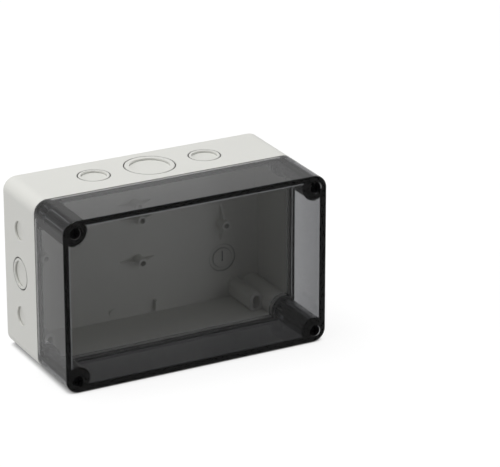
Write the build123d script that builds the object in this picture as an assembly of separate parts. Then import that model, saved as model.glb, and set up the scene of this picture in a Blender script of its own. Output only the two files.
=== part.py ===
from build123d import *
from math import atan2, degrees
import os

os.makedirs("parts", exist_ok=True)

# Wall-mounted electrical enclosure: a pale moulded base with cable knockouts, and a deep
# see-through lid held by four captive corner screws.
# Millimetres and degrees. The origin is the centre of the back face, which lies against the wall.
# +X is the width, +Z is up, and the lid faces -Y. A depth is measured from the wall
# towards the lid, so a point at depth d has y = -d.

# Overall form
WIDTH = 180.0
HEIGHT = 112.0
BASE_DEPTH = 47.0
LID_DEPTH = 43.0
CORNER_R = 8.5
WALL = 2.8
BACK_WALL = 3.0
WINDOW = 2.8
FRONT_EDGE_R = 1.4
BACK_EDGE = 1.0
SEAM_EDGE = 0.4
WINDOW_INNER_EDGE = 0.6
MOULD_DRAFT = 2.0

# Corner columns that carry the screws
SCREW_INSET = 7.7
COLUMN_R = 8.3

# Sealed joint: a tongue on the base enters a groove in the lid and presses on the gasket
TONGUE_T = 1.2
TONGUE_H = 1.6
SEAL_GAP = 0.2
LIP_T = 1.6
LIP_H = 5.6
LIP_REACH = 1.2
GASKET_H = 1.4
GASKET_SIDE_GAP = 0.05

# Captive lid screws, with heights measured from the seam towards the lid
HEAD_D = 7.0
HEAD_BELOW_FACE = 0.2
DRIVE_SLOT_W = 1.1
DRIVE_SLOT_L = 4.8
DRIVE_SLOT_DEPTH = 2.2
NECK_D = 3.4
THREAD_D = 4.8
THREAD_L = 8.0
THREAD_TOP_BELOW_SEAM = 3.0
SCREW_TRAVEL = 11.5
TRAVEL_SPARE = 0.3
WEB_T = 3.0
RING_T = 1.4
COUNTERBORE_D = 7.2
NECK_CLEARANCE = 0.3
RING_BORE_CLEARANCE = 0.1
RING_EDGE_CLEARANCE = 0.2
RECESS_CLEARANCE = 0.3
PILOT_CLEARANCE = 0.05
PILOT_SPARE = 3.0

# Metric cable knockouts: a recessed disc, and on most of them a wider ring round it
SMALL_INNER_D = 16.5
SMALL_OUTER_D = 20.5
LARGE_INNER_D = 25.5
LARGE_OUTER_D = 32.5
SINGLE_D = 12.5
SMALL_SPACING = 38.5
SINGLE_SPACING = 28.5
RECESS_DEPTH = 1.4
GROOVE_W = 1.0
GROOVE_DEPTH = 1.1

# Slotted pillars for the wall screws
FIXING_X = 70.0
FIXING_Z = 47.0
PILLAR_W = 9.0
PILLAR_L = 13.4
PILLAR_DEPTH = 33.0
FIXING_SLOT_W = 4.5
FIXING_SLOT_L = 9.0

# Bosses for a rail or mounting plate, each between two gussets
BOSS_D = 7.0
BOSS_HOLE_D = 3.6
BOSS_HOLE_DEPTH = 8.0
BOSS_DEPTH = 11.5
RAIL_BOSS_Z = 14.5
PLATE_BOSS_X = 60.0
GUSSET_T = 1.4
GUSSET_REACH = 9.0
GUSSET_DROP = 0.6

# Mould dial on the back wall, without figures, and a pip and a rib near the bottom wall
DIAL_X = 61.0
DIAL_Z = -25.0
DIAL_RING_R = 9.6
DIAL_R = 6.4
DIAL_DEPTH = 0.8
POINTER_L = 7.0
POINTER_W = 1.1
MARKS_Z = -48.0
PIP_X = -18.6
PIP_D = 4.6
PIP_H = 1.2
RIB_X = 11.7
RIB_H = 3.0
RIB_L = 7.0

# Values that follow from the ones above
TOTAL_DEPTH = BASE_DEPTH + LID_DEPTH
SCREW_X = WIDTH / 2 - SCREW_INSET
SCREW_Z = HEIGHT / 2 - SCREW_INSET
TONGUE_OUT = WALL - TONGUE_T
GROOVE_OUT = TONGUE_OUT - SEAL_GAP
GROOVE_IN = WALL + SEAL_GAP
LIP_IN = GROOVE_IN + LIP_T
GROOVE_H = TONGUE_H + GASKET_H
WEB_BOTTOM = SCREW_TRAVEL - THREAD_TOP_BELOW_SEAM + TRAVEL_SPARE
WEB_TOP = WEB_BOTTOM + WEB_T
HEAD_BOTTOM = WEB_TOP + RING_T
HEAD_H = LID_DEPTH - HEAD_BELOW_FACE - HEAD_BOTTOM
CORNERS = {
    "top_left": (-1, 1),
    "top_right": (1, 1),
    "bottom_left": (-1, -1),
    "bottom_right": (1, -1),
}


def slab(outline, start, end, draft=0):
    """A flat outline swept towards the lid, from one depth to another. With a draft it
    gets narrower on the way, as a mould needs it."""
    return extrude(Plane.XZ.offset(start) * outline, end - start, taper=draft)


def envelope():
    return RectangleRounded(WIDTH, HEIGHT, CORNER_R)


def corner_columns(radius):
    """The outlines of the four screw columns, each merged with its corner of the box."""
    columns = []
    for sx, sz in CORNERS.values():
        outward = Rot(0, 0, degrees(atan2(sz, sx)))
        quadrant = Pos(sx * SCREW_INSET / 2, sz * SCREW_INSET / 2) * Rectangle(SCREW_INSET, SCREW_INSET)
        columns.append(Pos(sx * SCREW_X, sz * SCREW_Z) * (outward * Circle(radius) + quadrant))
    return Sketch() + columns


def cavity(inset):
    """The hollow's outline, this far inside the outer face, with its corners bent inwards
    round the screw columns. Outlines at different insets run parallel."""
    outline = Rectangle(WIDTH - 2 * inset, HEIGHT - 2 * inset)
    return outline - corner_columns(COLUMN_R + inset - WALL)


def at_screws(sketch):
    """The same small sketch at each of the four screws."""
    copies = [Pos(sx * SCREW_X, sz * SCREW_Z) * sketch for sx, sz in CORNERS.values()]
    return Sketch() + copies


# Base

def knockout(inner_d, outer_d=None):
    """What a knockout takes from a wall whose outer face is z = 0: a shallow round recess
    and, where there is a second size, a V groove round it that the wall breaks along."""
    cut = extrude(Circle(inner_d / 2), -RECESS_DEPTH)
    if outer_d:
        radius = outer_d / 2
        profile = Polyline((radius - GROOVE_W / 2, 0), (radius, -GROOVE_DEPTH), (radius + GROOVE_W / 2, 0),
                           close=True)
        cut += revolve(Plane.XZ * make_face(profile), Axis.Z)
    return cut


def knockouts():
    """Knockouts half way along the base's depth, the same on opposite walls."""
    small = knockout(SMALL_INNER_D, SMALL_OUTER_D)
    large = knockout(LARGE_INNER_D, LARGE_OUTER_D)
    single = knockout(SINGLE_D)
    cuts = []
    for side in (-1, 1):
        flat_wall = Plane(origin=(0, -BASE_DEPTH / 2, side * HEIGHT / 2), x_dir=(1, 0, 0), z_dir=(0, 0, side))
        cuts.append(flat_wall * large)
        cuts += [flat_wall * Pos(place, 0, 0) * small for place in (-SMALL_SPACING, SMALL_SPACING)]
        end_wall = Plane(origin=(side * WIDTH / 2, -BASE_DEPTH / 2, 0), x_dir=(0, 0, 1), z_dir=(side, 0, 0))
        cuts.append(end_wall * small)
        cuts += [end_wall * Pos(place, 0, 0) * single for place in (-SINGLE_SPACING, SINGLE_SPACING)]
    return cuts


def gusset_boss(x, z, along_x):
    """A screw boss on the back wall, stiffened by a gusset on each side."""
    boss = slab(Pos(x, z) * Circle(BOSS_D / 2), BACK_WALL, BOSS_DEPTH, MOULD_DRAFT)
    half = BOSS_D / 2 + GUSSET_REACH
    top = BOSS_DEPTH - GUSSET_DROP
    side_view = make_face(Polyline((-half, -BACK_WALL), (0, -top), (half, -BACK_WALL), close=True))
    if along_x:
        web_plane = Plane(origin=(x, 0, z), x_dir=(1, 0, 0), z_dir=(0, 0, 1))
    else:
        web_plane = Plane(origin=(x, 0, z), x_dir=(0, 0, 1), z_dir=(-1, 0, 0))
    web = extrude(web_plane * side_view, GUSSET_T / 2, both=True)
    hole = slab(Pos(x, z) * Circle(BOSS_HOLE_D / 2), BOSS_DEPTH - BOSS_HOLE_DEPTH, BOSS_DEPTH)
    return boss + web - hole


def fixing_pillars():
    """Pillars that take the wall screws through upright slots, merged with the corners."""
    pillar = Rot(0, 0, 90) * SlotOverall(PILLAR_L, PILLAR_W)
    places = [Pos(sx * FIXING_X, sz * FIXING_Z) for sx, sz in CORNERS.values()]
    return [slab(place * pillar, BACK_WALL, PILLAR_DEPTH) for place in places]


def fixing_slots():
    slot = Rot(0, 0, 90) * SlotOverall(FIXING_SLOT_L, FIXING_SLOT_W)
    places = [Pos(sx * FIXING_X, sz * FIXING_Z) for sx, sz in CORNERS.values()]
    return [slab(place * slot, 0, PILLAR_DEPTH) for place in places]


def mould_marks(base):
    """The sunk dial that the mould leaves on the back wall, a pip and a short rib."""
    pointer = Pos(0, POINTER_W) * Rectangle(POINTER_W, POINTER_L)
    dial = Circle(DIAL_RING_R) - Circle(DIAL_R) + pointer
    base -= slab(Pos(DIAL_X, DIAL_Z) * dial, BACK_WALL - DIAL_DEPTH, BACK_WALL)
    base += slab(Pos(PIP_X, MARKS_Z) * Circle(PIP_D / 2), BACK_WALL, BACK_WALL + PIP_H)
    base += slab(Pos(RIB_X, MARKS_Z) * Rectangle(GUSSET_T, RIB_L), BACK_WALL, BACK_WALL + RIB_H)
    return base


def make_base():
    body = slab(envelope(), 0, BASE_DEPTH)
    body = chamfer(body.faces().sort_by(Axis.Y)[-1].edges(), BACK_EDGE)
    body = chamfer(body.faces().sort_by(Axis.Y)[0].edges(), SEAM_EDGE)
    body -= slab(cavity(WALL), BACK_WALL, BASE_DEPTH)
    body += slab(cavity(TONGUE_OUT) - cavity(WALL), BASE_DEPTH, BASE_DEPTH + TONGUE_H)
    body += fixing_pillars()
    for side in (-1, 1):
        body += gusset_boss(0, side * RAIL_BOSS_Z, along_x=True)
        body += gusset_boss(side * PLATE_BOSS_X, 0, along_x=False)
    body = mould_marks(body)
    body -= fixing_slots()
    body -= knockouts()
    pilot_depth = THREAD_TOP_BELOW_SEAM + THREAD_L + PILOT_SPARE
    pilot = Circle(THREAD_D / 2 + PILOT_CLEARANCE)
    body -= slab(at_screws(pilot), BASE_DEPTH - pilot_depth, BASE_DEPTH)
    return body


# Lid and gasket

def lid_hollow():
    """The space behind the window. Its walls thicken towards the window, so that the
    moulding leaves its tool, while the columns stay straight."""
    start = BASE_DEPTH + LIP_H
    end = TOTAL_DEPTH - WINDOW
    outline = Rectangle(WIDTH - 2 * WALL, HEIGHT - 2 * WALL)
    hollow = slab(outline, start, end, MOULD_DRAFT)
    hollow -= slab(corner_columns(COLUMN_R), start, end)
    return chamfer(hollow.faces().sort_by(Axis.Y)[0].edges(), WINDOW_INNER_EDGE)


def make_lid():
    body = slab(envelope(), BASE_DEPTH, TOTAL_DEPTH)
    body = fillet(body.faces().sort_by(Axis.Y)[0].edges(), FRONT_EDGE_R)
    body = chamfer(body.faces().sort_by(Axis.Y)[-1].edges(), SEAM_EDGE)
    body -= lid_hollow()
    body -= slab(cavity(LIP_IN), BASE_DEPTH, BASE_DEPTH + LIP_H)
    groove = cavity(GROOVE_OUT) - cavity(GROOVE_IN)
    body -= slab(groove, BASE_DEPTH, BASE_DEPTH + GROOVE_H)
    body += slab(cavity(GROOVE_IN) - cavity(LIP_IN), BASE_DEPTH - LIP_REACH, BASE_DEPTH)
    recess = Circle(THREAD_D / 2 + RECESS_CLEARANCE)
    body -= slab(at_screws(recess), BASE_DEPTH, BASE_DEPTH + WEB_BOTTOM)
    neck_hole = Circle(NECK_D / 2 + NECK_CLEARANCE)
    body -= slab(at_screws(neck_hole), BASE_DEPTH + WEB_BOTTOM, BASE_DEPTH + WEB_TOP)
    counterbore = Circle(COUNTERBORE_D / 2)
    body -= slab(at_screws(counterbore), BASE_DEPTH + WEB_TOP, TOTAL_DEPTH)
    return body


def make_gasket():
    outline = cavity(GROOVE_OUT + GASKET_SIDE_GAP) - cavity(GROOVE_IN - GASKET_SIDE_GAP)
    start = BASE_DEPTH + TONGUE_H
    return slab(outline, start, start + GASKET_H)


# Screws and their rings

def make_screw(x, z):
    """A captive screw seated on its ring: a long head that fills the column nearly to the
    lid's face, a plain neck, and a wider thread below."""
    place = Pos(x, z)
    head_start = BASE_DEPTH + HEAD_BOTTOM
    thread_end = BASE_DEPTH - THREAD_TOP_BELOW_SEAM
    head = slab(place * Circle(HEAD_D / 2), head_start, head_start + HEAD_H)
    drive = Rectangle(DRIVE_SLOT_W, DRIVE_SLOT_L) + Rectangle(DRIVE_SLOT_L, DRIVE_SLOT_W)
    head -= slab(place * drive, head_start + HEAD_H - DRIVE_SLOT_DEPTH, head_start + HEAD_H)
    neck = slab(place * Circle(NECK_D / 2), thread_end, head_start)
    thread = slab(place * Circle(THREAD_D / 2), thread_end - THREAD_L, thread_end)
    return head + neck + thread


def make_ring(x, z):
    outer = Circle(COUNTERBORE_D / 2 - RING_EDGE_CLEARANCE)
    bore = Circle(NECK_D / 2 + RING_BORE_CLEARANCE)
    start = BASE_DEPTH + WEB_TOP
    return slab(Pos(x, z) * (outer - bore), start, start + RING_T)


# Write every piece in its own file

pieces = {"enclosure_base": make_base(), "lid": make_lid(), "lid_gasket": make_gasket()}
for corner, (sx, sz) in CORNERS.items():
    pieces["lid_screw_" + corner] = make_screw(sx * SCREW_X, sz * SCREW_Z)
    pieces["screw_ring_" + corner] = make_ring(sx * SCREW_X, sz * SCREW_Z)

for name, piece in pieces.items():
    piece.label = name
    export_step(piece, f"parts/{name}.step")
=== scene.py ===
import bmesh
import bpy
from math import cos, pi, radians, sin
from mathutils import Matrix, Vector


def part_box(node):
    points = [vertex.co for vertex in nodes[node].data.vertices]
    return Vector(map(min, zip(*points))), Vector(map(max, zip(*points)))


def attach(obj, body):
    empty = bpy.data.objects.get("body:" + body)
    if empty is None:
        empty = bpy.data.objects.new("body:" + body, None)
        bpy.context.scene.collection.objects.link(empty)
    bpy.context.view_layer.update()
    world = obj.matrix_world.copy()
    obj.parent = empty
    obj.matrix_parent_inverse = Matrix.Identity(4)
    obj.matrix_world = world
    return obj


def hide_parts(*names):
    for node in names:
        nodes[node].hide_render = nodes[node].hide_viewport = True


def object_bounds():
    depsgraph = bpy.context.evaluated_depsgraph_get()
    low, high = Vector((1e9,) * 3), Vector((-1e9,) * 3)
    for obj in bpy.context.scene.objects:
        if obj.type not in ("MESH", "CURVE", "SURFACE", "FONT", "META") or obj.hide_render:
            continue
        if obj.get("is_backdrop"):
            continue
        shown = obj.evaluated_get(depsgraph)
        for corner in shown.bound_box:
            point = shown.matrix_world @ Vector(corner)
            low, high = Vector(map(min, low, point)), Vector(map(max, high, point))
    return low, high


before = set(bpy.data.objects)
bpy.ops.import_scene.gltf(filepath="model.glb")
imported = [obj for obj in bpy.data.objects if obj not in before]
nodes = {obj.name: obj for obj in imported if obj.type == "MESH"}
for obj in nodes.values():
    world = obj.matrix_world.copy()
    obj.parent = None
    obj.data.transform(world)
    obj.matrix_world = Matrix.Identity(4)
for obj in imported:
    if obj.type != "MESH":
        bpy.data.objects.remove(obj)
cad_low, cad_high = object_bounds()


# Camera: in front, to the left and a little above, far enough away for a long lens. The
# place and the angles are those at which the box's edges run as they do in the photograph.

CAMERA_PLACE = Vector((-0.7712, -1.6051, 0.7101))
CAMERA_DOWN = 21.71
CAMERA_RIGHT = 28.04
CAMERA_LENS = 216.0
CAMERA_SENSOR = 36.0
CAMERA_NEAREST = 0.05

camera_data = bpy.data.cameras.new("camera")
camera_data.lens = CAMERA_LENS
camera_data.sensor_width = CAMERA_SENSOR
camera_data.clip_start = CAMERA_NEAREST
camera = bpy.data.objects.new("camera", camera_data)
camera.location = CAMERA_PLACE
camera.rotation_euler = (radians(90 - CAMERA_DOWN), 0, radians(-CAMERA_RIGHT))
bpy.context.scene.collection.objects.link(camera)
bpy.context.scene.camera = camera


# Base: one moulding in pale, warm grey plastic with its knockouts, columns, pillars and
# bosses. The mould was spark-eroded, so the skin has a fine grain and an even satin gloss.
# Painted shade darkens the colour in the grooves round the knockouts and at the rim of the mould dial
# inside.

BASE_COLOUR = (222, 222, 217)
BASE_COLOUR_PALER = (227, 227, 222)
BASE_GRAIN = 0.00035
BASE_PATCH = 0.025
BASE_GLOSS = (0.38, 0.52)
BASE_BUMP = (0.35, 0.00004)
BASE_IOR = 1.5
BASE_EDGE = 0.0003
EDGE_SAMPLES = 6
GRAIN_DETAIL = 2.0
PATCH_DETAIL = 3.0
GRAIN_IN_GLOSS = 0.35
NOISE_SPREAD = (0.3, 0.7)
# The groove and dial numbers set painted shade: how far ambient occlusion looks, and how dark it paints the
# colour.
GROOVE_REACH = 0.0015
GROOVE_SAMPLES = 16
GROOVE_OPENNESS = (0.32, 0.78)
GROOVE_SHADE = 0.16
OUTER_SKIN = 0.0014
DIAL_PLACE = (0.061, -0.0026, -0.025)
DIAL_RADIUS = 0.0102
DIAL_OPENNESS = (0.3, 1.0)
DIAL_SHADE = 0.3


def linear(colour):
    """A colour in display values from 0 to 255, as the linear colour that a shader takes."""
    return tuple(((value / 255 + 0.055) / 1.055) ** 2.4 for value in colour) + (1.0,)


def add_node(tree, kind, sockets=None, **settings):
    """Adds a shader node. Each named socket takes a value or, given an output, a link."""
    added = tree.nodes.new(kind)
    for name, value in settings.items():
        setattr(added, name, value)
    for name, value in (sockets or {}).items():
        if isinstance(value, bpy.types.NodeSocket):
            tree.links.new(value, added.inputs[name])
        else:
            added.inputs[name].default_value = value
    return added


def add_math(tree, operation, first, second):
    """A sum, product, comparison or the like of two values."""
    return add_node(tree, "ShaderNodeMath", {0: first, 1: second}, operation=operation).outputs[0]


def add_range(tree, value, given, made):
    """A value moved from one range to another, and held at that range's ends."""
    return add_node(tree, "ShaderNodeMapRange", {
        "Value": value, "From Min": given[0], "From Max": given[1],
        "To Min": made[0], "To Max": made[1]}).outputs[0]


def add_mix(tree, factor, first, second):
    """The first value where the factor is 0, the second where it is 1."""
    return add_node(tree, "ShaderNodeMix", {"Factor": factor, "A": first, "B": second}).outputs[0]


def add_tone(tree, factor, first, second):
    """The first colour where the factor is 0, the second where it is 1."""
    return add_node(tree, "ShaderNodeMix", {
        "Factor": factor, "A": linear(first), "B": linear(second)}, data_type="RGBA").outputs["Result"]


def add_bump(tree, height, bump, **under):
    """The normal of a rough skin. A bump is a strength and a depth in metres."""
    strength, depth = bump
    return add_node(tree, "ShaderNodeBump", {
        "Strength": strength, "Distance": depth, "Height": height, **under}).outputs[0]


def new_material(name):
    """An empty material, its node tree and its output node."""
    material = bpy.data.materials.new(name)
    material.use_nodes = True
    material.node_tree.nodes.clear()
    return material, material.node_tree, add_node(material.node_tree, "ShaderNodeOutputMaterial")


def new_group(name, inputs, outputs):
    """An empty node group with float inputs at their usual values, and float outputs."""
    group = bpy.data.node_groups.new(name, "ShaderNodeTree")
    for label, value in inputs.items():
        socket = group.interface.new_socket(name=label, in_out="INPUT", socket_type="NodeSocketFloat")
        socket.default_value = value
    for label in outputs:
        group.interface.new_socket(name=label, in_out="OUTPUT", socket_type="NodeSocketFloat")
    return group, add_node(group, "NodeGroupInput"), add_node(group, "NodeGroupOutput")


def build_mould_grain():
    """The skin of a moulding: fine pits as Height, and slow changes of gloss and tone."""
    usual = {"Grain Size": BASE_GRAIN, "Patch Size": BASE_PATCH,
             "Gloss Low": BASE_GLOSS[0], "Gloss High": BASE_GLOSS[1]}
    group, given, made = new_group("mould grain", usual, ("Height", "Roughness", "Patch"))
    place = add_node(group, "ShaderNodeTexCoord").outputs["Object"]
    grain = add_node(group, "ShaderNodeTexNoise", {
        "Vector": place, "Detail": GRAIN_DETAIL,
        "Scale": add_math(group, "DIVIDE", 1.0, given.outputs["Grain Size"])}).outputs[0]
    patch = add_node(group, "ShaderNodeTexNoise", {
        "Vector": place, "Detail": PATCH_DETAIL,
        "Scale": add_math(group, "DIVIDE", 1.0, given.outputs["Patch Size"])}).outputs[0]
    both = add_mix(group, GRAIN_IN_GLOSS, patch, grain)
    gloss = add_range(group, both, NOISE_SPREAD, (given.outputs["Gloss Low"], given.outputs["Gloss High"]))
    group.links.new(grain, made.inputs["Height"])
    group.links.new(gloss, made.inputs["Roughness"])
    group.links.new(patch, made.inputs["Patch"])
    return group


mould_grain = build_mould_grain()


def place_grain(tree, grain_size, patch_size, gloss):
    """The mould grain as a node of a material, with that material's own sizes and gloss."""
    return add_node(tree, "ShaderNodeGroup", {
        "Grain Size": grain_size, "Patch Size": patch_size,
        "Gloss Low": gloss[0], "Gloss High": gloss[1]}, node_tree=mould_grain)


def dress(name, material):
    """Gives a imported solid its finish."""
    nodes[name].data.materials.clear()
    nodes[name].data.materials.append(material)


def build_painted_groove_shade(tree):
    """Painted shade: a factor below 1 in the grooves of the outer skin and beside the edges of the mould
    dial.
    """
    place = add_node(tree, "ShaderNodeTexCoord").outputs["Object"]
    # Painted shade: ambient occlusion finds the grooves and the dial's edges, and the colour is darkened
    # there.
    near = add_node(tree, "ShaderNodeAmbientOcclusion", {"Distance": GROOVE_REACH}, samples=GROOVE_SAMPLES)
    grooves = add_range(tree, near.outputs["AO"], GROOVE_OPENNESS, (GROOVE_SHADE, 1.0))
    dial_edges = add_range(tree, near.outputs["AO"], DIAL_OPENNESS, (DIAL_SHADE, 1.0))
    sideways = add_node(tree, "ShaderNodeVectorMath", {0: place}, operation="ABSOLUTE")
    under_skin = (cad_high.x - OUTER_SKIN, 0.0, cad_high.z - OUTER_SKIN)
    beyond = add_node(tree, "ShaderNodeVectorMath", {
        0: sideways.outputs[0], 1: under_skin}, operation="SUBTRACT")
    apart = add_node(tree, "ShaderNodeSeparateXYZ", {0: beyond.outputs[0]})
    furthest = add_math(tree, "MAXIMUM", apart.outputs["X"], apart.outputs["Z"])
    on_skin = add_math(tree, "GREATER_THAN", furthest, 0.0)
    away = add_node(tree, "ShaderNodeVectorMath", {0: place, 1: DIAL_PLACE}, operation="DISTANCE")
    on_dial = add_math(tree, "LESS_THAN", away.outputs["Value"], DIAL_RADIUS)
    skin_shade = add_mix(tree, on_skin, 1.0, grooves)
    dial_shade = add_mix(tree, on_dial, 1.0, dial_edges)
    return add_math(tree, "MINIMUM", skin_shade, dial_shade)


def build_base_plastic():
    """Pale satin plastic with painted shade in its grooves, and edges that are a little round."""
    material, tree, output = new_material("base plastic")
    skin = place_grain(tree, BASE_GRAIN, BASE_PATCH, BASE_GLOSS)
    tone = add_tone(tree, skin.outputs["Patch"], BASE_COLOUR, BASE_COLOUR_PALER)
    # The colour is scaled down by painted shade in the grooves and at the mould dial's edges.
    shaded = add_node(tree, "ShaderNodeVectorMath", {
        0: tone, "Scale": build_painted_groove_shade(tree)}, operation="SCALE")
    edges = add_node(tree, "ShaderNodeBevel", {"Radius": BASE_EDGE}, samples=EDGE_SAMPLES)
    shader = add_node(tree, "ShaderNodeBsdfPrincipled", {
        "Base Color": shaded.outputs[0], "Roughness": skin.outputs["Roughness"], "IOR": BASE_IOR,
        "Normal": add_bump(tree, skin.outputs["Height"], BASE_BUMP, Normal=edges.outputs[0])})
    tree.links.new(shader.outputs[0], output.inputs["Surface"])
    return material


dress("enclosure_base", build_base_plastic())


# Gasket: a strip of closed-cell foam, foamed in place in the lid's groove, where the
# base's tongue presses on it all round.

GASKET_COLOUR = (27, 27, 28)
GASKET_COLOUR_PALER = (38, 38, 39)
GASKET_CELL = 0.0005
GASKET_PATCH = 0.01
GASKET_GLOSS = (0.75, 0.9)
GASKET_BUMP = (0.6, GASKET_CELL / 3)


def build_gasket_foam():
    """Matt foam whose cells show as small pits, paler towards their borders."""
    material, tree, output = new_material("gasket foam")
    place = add_node(tree, "ShaderNodeTexCoord").outputs["Object"]
    cells = add_node(tree, "ShaderNodeTexVoronoi", {"Vector": place, "Scale": 1 / GASKET_CELL})
    skin = place_grain(tree, GASKET_CELL, GASKET_PATCH, GASKET_GLOSS)
    shader = add_node(tree, "ShaderNodeBsdfPrincipled", {
        "Base Color": add_tone(tree, cells.outputs["Distance"], GASKET_COLOUR, GASKET_COLOUR_PALER),
        "Roughness": skin.outputs["Roughness"],
        "Normal": add_bump(tree, cells.outputs["Distance"], GASKET_BUMP)})
    tree.links.new(shader.outputs[0], output.inputs["Surface"])
    return material


dress("lid_gasket", build_gasket_foam())


# Lid: one deep moulding in smoked, see-through plastic with polished faces. Its tint is in
# the plastic itself, so it darkens with the thickness that one looks through: light across
# a wall, nearly black along one.

SMOKE_COLOUR = (0.0, 0.007, 0.028, 1.0)
SMOKE_DENSITY = 215.0
LID_IOR = 1.57
LID_MIRROR = (0.2, 0.2, 0.2, 1.0)
LID_GRAIN = 0.005
LID_WAVE = 0.02
LID_GLOSS = (0.012, 0.035)
LID_BUMP = (0.2, 0.00005)
WHITE = (1.0, 1.0, 1.0, 1.0)


def build_smoked_clear():
    """Clear to the eye, with the smoke inside. Light on its way to the box goes straight
    through the faces, and only the smoke dims it."""
    material, tree, output = new_material("smoked clear")
    skin = place_grain(tree, LID_GRAIN, LID_WAVE, LID_GLOSS)
    clear = add_node(tree, "ShaderNodeBsdfPrincipled", {
        "Base Color": WHITE, "Roughness": skin.outputs["Roughness"], "IOR": LID_IOR,
        "Transmission Weight": 1.0, "Specular Tint": LID_MIRROR,
        "Normal": add_bump(tree, skin.outputs["Patch"], LID_BUMP)})
    through = add_node(tree, "ShaderNodeBsdfTransparent")
    path = add_node(tree, "ShaderNodeLightPath")
    on_its_way = add_math(tree, "MAXIMUM", path.outputs["Is Shadow Ray"], path.outputs["Is Diffuse Ray"])
    surface = add_node(tree, "ShaderNodeMixShader", {
        0: on_its_way, 1: clear.outputs[0], 2: through.outputs[0]})
    smoke = add_node(tree, "ShaderNodeVolumeAbsorption", {"Color": SMOKE_COLOUR, "Density": SMOKE_DENSITY})
    tree.links.new(surface.outputs[0], output.inputs["Surface"])
    tree.links.new(smoke.outputs[0], output.inputs["Volume"])
    return material


dress("lid", build_smoked_clear())


# Lid screws: black moulded plastic, a round head with a cross recess, a plain neck and a
# coarse right-handed thread that is cut off flat and tapers in at its tip.

SCREW_COLOUR = (3, 3, 4)
SCREW_COLOUR_PALER = (7, 7, 8)
SCREW_GRAIN = 0.00025
SCREW_PATCH = 0.004
SCREW_GLOSS = (0.32, 0.5)
SCREW_BUMP = (0.3, 0.00004)
SCREW_MIRROR = 0.02
HEAD_HEIGHT = 0.0296
HEAD_EDGE = 0.0004
HEAD_EDGE_MIDDLE = 0.3
RECESS_WIDTH = 0.0011
RECESS_LENGTH = 0.0048
RECESS_DEPTH = 0.0022
CUTTER_ABOVE = 0.001
NECK_RADIUS = 0.0017
THREAD_LENGTH = 0.008
THREAD_RADIUS = 0.0024
ROOT_RADIUS = 0.00175
THREAD_PITCH = 0.0023
RIDGE_HALF_WIDTH = 0.22
TIP_TAPER = 0.0012
TIP_NARROWER = 0.0006
THREAD_STEPS = 40
SIDES = 40
ANGLES = [2 * pi * side / SIDES for side in range(SIDES)]
CORNERS = ("top_left", "top_right", "bottom_left", "bottom_right")


def thread_radius(angle, along):
    """The screw's radius this far along its thread: a sharp ridge that winds round the root."""
    phase = (along / THREAD_PITCH - angle / (2 * pi)) % 1
    ridge = max(0.0, 1 - abs(phase - 0.5) / RIDGE_HALF_WIDTH)
    near_end = min(along, THREAD_LENGTH - along) / TIP_TAPER
    grown = max(0.0, min(1.0, near_end))
    near_tip = 1 - min(1.0, (THREAD_LENGTH - along) / TIP_TAPER)
    root = ROOT_RADIUS - TIP_NARROWER * near_tip
    return root + (THREAD_RADIUS - ROOT_RADIUS) * ridge * grown


def screw_rings(length):
    """(distance from the head's face, radius at each angle) from the head to the tip."""
    head = nodes["lid_screw_top_left"].dimensions.x / 2
    middle = HEAD_EDGE * HEAD_EDGE_MIDDLE
    start = length - THREAD_LENGTH
    plain = [(0.0, head - HEAD_EDGE), (middle, head - middle), (HEAD_EDGE, head),
             (HEAD_HEIGHT, head), (HEAD_HEIGHT, NECK_RADIUS), (start, NECK_RADIUS)]
    rings = [(along, [radius] * SIDES) for along, radius in plain]
    for step in range(THREAD_STEPS + 1):
        wound = THREAD_LENGTH * step / THREAD_STEPS
        rings.append((start + wound, [thread_radius(angle, wound) for angle in ANGLES]))
    return rings


def finished_mesh(work, name):
    """The worked shape as a mesh, with every face turned outwards."""
    bmesh.ops.recalc_face_normals(work, faces=work.faces)
    mesh = bpy.data.meshes.new(name)
    work.to_mesh(mesh)
    work.free()
    return mesh


def screw_body(length):
    """The turned shape with its thread, head's face at y = 0 and tip at y = length."""
    work = bmesh.new()
    rings = []
    for along, radii in screw_rings(length):
        rings.append([work.verts.new((radius * sin(angle), along, radius * cos(angle)))
                      for angle, radius in zip(ANGLES, radii)])
    for one, two in zip(rings, rings[1:]):
        for side in range(SIDES):
            after = (side + 1) % SIDES
            work.faces.new((one[side], one[after], two[after], two[side]))
    work.faces.new(rings[0])
    work.faces.new(rings[-1])
    return finished_mesh(work, "lid screw")


def cross_cutter():
    """A bar cross that the recess is cut with, from just above the head's face."""
    work = bmesh.new()
    half_width = RECESS_WIDTH / 2
    half_length = RECESS_LENGTH / 2
    arm = [(half_width, half_width), (half_width, half_length), (-half_width, half_length)]
    outline = []
    for _ in range(4):
        outline += arm
        arm = [(-z, x) for x, z in arm]
    upper, lower = ([work.verts.new((x, depth, z)) for x, z in outline]
                    for depth in (-CUTTER_ABOVE, RECESS_DEPTH))
    work.faces.new(upper)
    work.faces.new(lower)
    for side in range(len(outline)):
        after = (side + 1) % len(outline)
        work.faces.new((upper[side], upper[after], lower[after], lower[side]))
    return bpy.data.objects.new("cross_cutter", finished_mesh(work, "cross cutter"))


def cut_recess(mesh):
    """The screw's mesh with the cross recess cut into its head."""
    blank = bpy.data.objects.new("screw_blank", mesh)
    cutter = cross_cutter()
    for part in (blank, cutter):
        bpy.context.scene.collection.objects.link(part)
    cut = blank.modifiers.new("recess", "BOOLEAN")
    cut.object = cutter
    cut.operation = "DIFFERENCE"
    cut.solver = "EXACT"
    finished = bpy.data.meshes.new_from_object(blank.evaluated_get(bpy.context.evaluated_depsgraph_get()))
    for part in (blank, cutter):
        bpy.data.objects.remove(part)
    return finished


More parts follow.
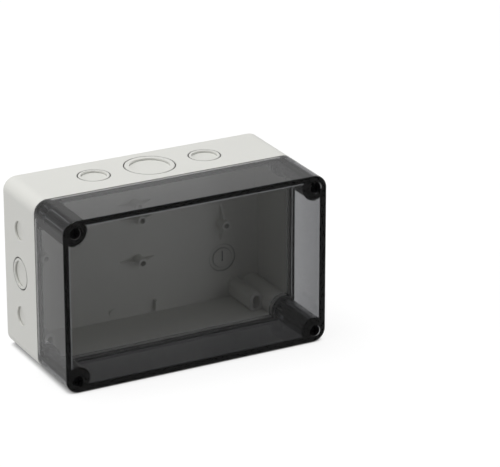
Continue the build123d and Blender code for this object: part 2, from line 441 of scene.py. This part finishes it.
def build_black_skin(name, colours, grain_size, patch_size, gloss, bump, mirror):
    """A black moulded finish in two near tones, with fine pits and patches of gloss."""
    material, tree, output = new_material(name)
    skin = place_grain(tree, grain_size, patch_size, gloss)
    shader = add_node(tree, "ShaderNodeBsdfPrincipled", {
        "Base Color": add_tone(tree, skin.outputs["Patch"], *colours),
        "Roughness": skin.outputs["Roughness"], "Specular IOR Level": mirror,
        "Normal": add_bump(tree, skin.outputs["Height"], bump)})
    tree.links.new(shader.outputs[0], output.inputs["Surface"])
    return material


screw_low, screw_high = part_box("lid_screw_top_left")
screw_mesh = cut_recess(screw_body(screw_high.y - screw_low.y))
screw_mesh.materials.clear()
screw_mesh.materials.append(build_black_skin(
    "screw plastic", (SCREW_COLOUR, SCREW_COLOUR_PALER), SCREW_GRAIN, SCREW_PATCH,
    SCREW_GLOSS, SCREW_BUMP, SCREW_MIRROR))
for corner in CORNERS:
    low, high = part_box("lid_screw_" + corner)
    screw = bpy.data.objects.new("screw_with_thread_" + corner, screw_mesh)
    screw.location = ((low.x + high.x) / 2, low.y, (low.z + high.z) / 2)
    bpy.context.scene.collection.objects.link(screw)
    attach(screw, "screw_" + corner)
    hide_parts("lid_screw_" + corner)


# Sealing rings: soft black rubber washers under the screw heads, matt and a little dusty
# with mould powder. Each keeps the water out of its hole and the screw in the lid.

RUBBER_COLOUR = (26, 26, 27)
RUBBER_COLOUR_PALER = (38, 38, 39)
RUBBER_GRAIN = 0.0002
RUBBER_PATCH = 0.003
RUBBER_GLOSS = (0.6, 0.8)
RUBBER_BUMP = (0.4, 0.00003)
RUBBER_MIRROR = 0.5

ring_rubber = build_black_skin(
    "ring rubber", (RUBBER_COLOUR, RUBBER_COLOUR_PALER), RUBBER_GRAIN, RUBBER_PATCH,
    RUBBER_GLOSS, RUBBER_BUMP, RUBBER_MIRROR)
for corner in CORNERS:
    dress("screw_ring_" + corner, ring_rubber)


# Studio: a pale floor under the box's lower wall, a sky of one colour, and large soft lamps
# above, on the left and in front, of which gloss shows only the one above. The floor and the
# sky look white to the camera, dimmer in gloss, and light the box at a plain level.

FLOOR_HALF = 6.0
FLOOR_BELOW = 0.0001
FLOOR_COLOUR = (0.2, 0.2, 0.2, 1.0)
FLOOR_LIGHT = 0.4
FLOOR_SEEN = 0.86
# The contact numbers set a painted shadow in the floor's glow close to the box.
CONTACT_REACH = 0.006
CONTACT_SAMPLES = 8
CONTACT_OPENNESS = (0.1, 0.6)
CONTACT_SHADE = 0.1
LIT_REACH = 0.8
UNLIT_FROM = 2.2
SKY_LIGHT = 0.15
SKY_SEEN = 1.0
MIRRORED = 0.72
LAMPS = {
    "top_lamp": {"place": (-0.3, 0.2, 2.2), "size": 1.6, "power": 39.0, "in_gloss": True},
    "left_lamp": {"place": (-2.2, 0.5, 0.7), "size": 1.4, "power": 15.2, "in_gloss": False},
    "front_lamp": {"place": (1.1, -2.2, 0.35), "size": 1.2, "power": 15.0, "in_gloss": False},
}
BOUNCES = 24
BOUNCES_IN_LID = 20
PASSES_THROUGH_LID = 32


def background_level(tree, as_light, as_seen):
    """The seen level for the camera and through clear plastic, a part of it in gloss, and
    the lower level as light."""
    path = add_node(tree, "ShaderNodeLightPath")
    straight = add_math(tree, "MAXIMUM", path.outputs["Is Camera Ray"], path.outputs["Is Transmission Ray"])
    otherwise = add_mix(tree, path.outputs["Is Glossy Ray"], as_light, as_seen * MIRRORED)
    return add_mix(tree, straight, otherwise, as_seen)


def build_floor_finish():
    """A floor that takes real shadows and glows. Away from the lamps its glow rises to make up for their
    light, and close to the box a painted shadow dims the glow."""
    material, tree, output = new_material("studio floor")
    # Painted shadow: the glow dims where ambient occlusion finds the box close by.
    near = add_node(tree, "ShaderNodeAmbientOcclusion", {"Distance": CONTACT_REACH}, samples=CONTACT_SAMPLES)
    painted_contact_shadow = add_range(tree, near.outputs["AO"], CONTACT_OPENNESS, (CONTACT_SHADE, 1.0))
    place = add_node(tree, "ShaderNodeTexCoord").outputs["Object"]
    away = add_node(tree, "ShaderNodeVectorMath", {0: place}, operation="LENGTH")
    raised = add_range(tree, away.outputs["Value"], (LIT_REACH, UNLIT_FROM), (1.0, 1 / FLOOR_SEEN))
    level = add_math(tree, "MULTIPLY", raised, background_level(tree, FLOOR_LIGHT, FLOOR_SEEN))
    glow = add_node(tree, "ShaderNodeEmission", {
        "Color": WHITE, "Strength": add_math(tree, "MULTIPLY", painted_contact_shadow, level)})
    shadowed = add_node(tree, "ShaderNodeBsdfDiffuse", {"Color": FLOOR_COLOUR})
    surface = add_node(tree, "ShaderNodeAddShader", {0: shadowed.outputs[0], 1: glow.outputs[0]})
    tree.links.new(surface.outputs[0], output.inputs["Surface"])
    return material


def build_floor():
    mesh = bpy.data.meshes.new("floor")
    corners = [(-1, -1), (1, -1), (1, 1), (-1, 1)]
    height = cad_low.z - FLOOR_BELOW
    mesh.from_pydata([(x * FLOOR_HALF, y * FLOOR_HALF, height) for x, y in corners], [], [(0, 1, 2, 3)])
    mesh.materials.append(build_floor_finish())
    floor = bpy.data.objects.new("floor", mesh)
    bpy.context.scene.collection.objects.link(floor)
    floor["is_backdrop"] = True


def build_sky():
    world = bpy.data.worlds.new("studio sky")
    world.use_nodes = True
    world.node_tree.nodes.clear()
    tree = world.node_tree
    sky = add_node(tree, "ShaderNodeBackground", {
        "Color": WHITE, "Strength": background_level(tree, SKY_LIGHT, SKY_SEEN)})
    output = add_node(tree, "ShaderNodeOutputWorld")
    tree.links.new(sky.outputs[0], output.inputs["Surface"])
    bpy.context.scene.world = world


build_floor()
build_sky()
for name, given in LAMPS.items():
    lamp_data = bpy.data.lights.new(name, "AREA")
    lamp_data.size = given["size"]
    lamp_data.energy = given["power"]
    lamp = bpy.data.objects.new(name, lamp_data)
    lamp.location = given["place"]
    lamp.visible_glossy = given["in_gloss"]
    lamp.rotation_euler = (-Vector(given["place"])).to_track_quat("-Z", "Y").to_euler()
    bpy.context.scene.collection.objects.link(lamp)

scene = bpy.context.scene
scene.view_settings.view_transform = "Standard"
scene.cycles.max_bounces = BOUNCES
scene.cycles.transmission_bounces = BOUNCES_IN_LID
scene.cycles.transparent_max_bounces = PASSES_THROUGH_LID

low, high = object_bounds()
